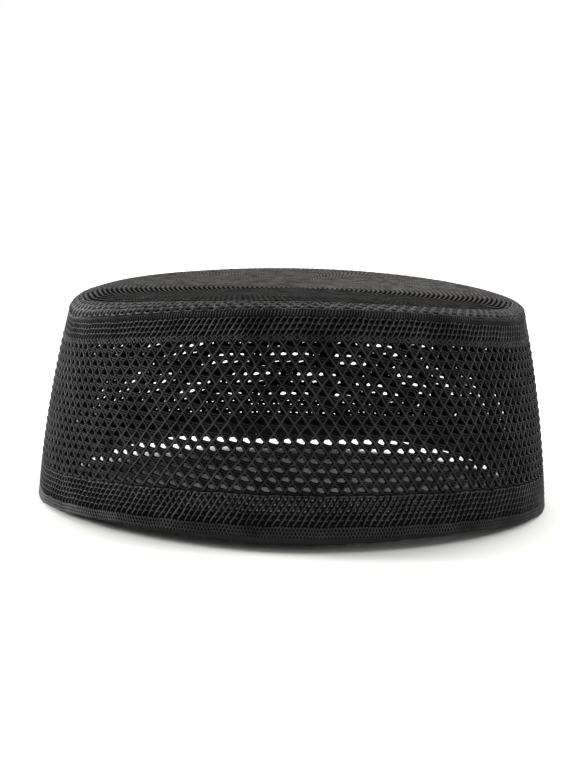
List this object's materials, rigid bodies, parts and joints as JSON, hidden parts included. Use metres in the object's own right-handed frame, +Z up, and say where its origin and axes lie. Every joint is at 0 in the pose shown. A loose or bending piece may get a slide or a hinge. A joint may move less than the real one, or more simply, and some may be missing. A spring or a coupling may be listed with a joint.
{
  "type": "knitted openwork kufi cap",
  "caption": "Round black knitted pillbox prayer cap with a flat ringed crown, a rolled crown edge, an open net wall and a fine ribbed hem.",
  "frame": {"origin": "on the floor under the middle of the crown, where the cap stands on its rim", "axes": "+Z up through the crown, the front of the cap towards -Y, +X to the right when the front is seen"},
  "size_m": [0.185, 0.185, 0.0812],
  "materials": {
    "crown_knit": "fine ribbed black knit with a grey sheen",
    "roll_knit": "dense black knit",
    "border_knit": "black knit with small eyelets",
    "net_knit": "open black knitted net, slightly shiny yarn",
    "hem_knit": "fine ribbed black knit",
    "tape": "smooth black tape",
    "seam_knit": "black overlocked seam"
  },
  "bodies": {
    "root": {"crown": "crown_knit", "crown_edge": "roll_knit", "upper_border": "border_knit", "net_wall": "net_knit", "lower_border": "border_knit", "hem_band": "hem_knit", "hem_tape": "tape", "back_seam": "seam_knit"}
  },
  "joints": []
}
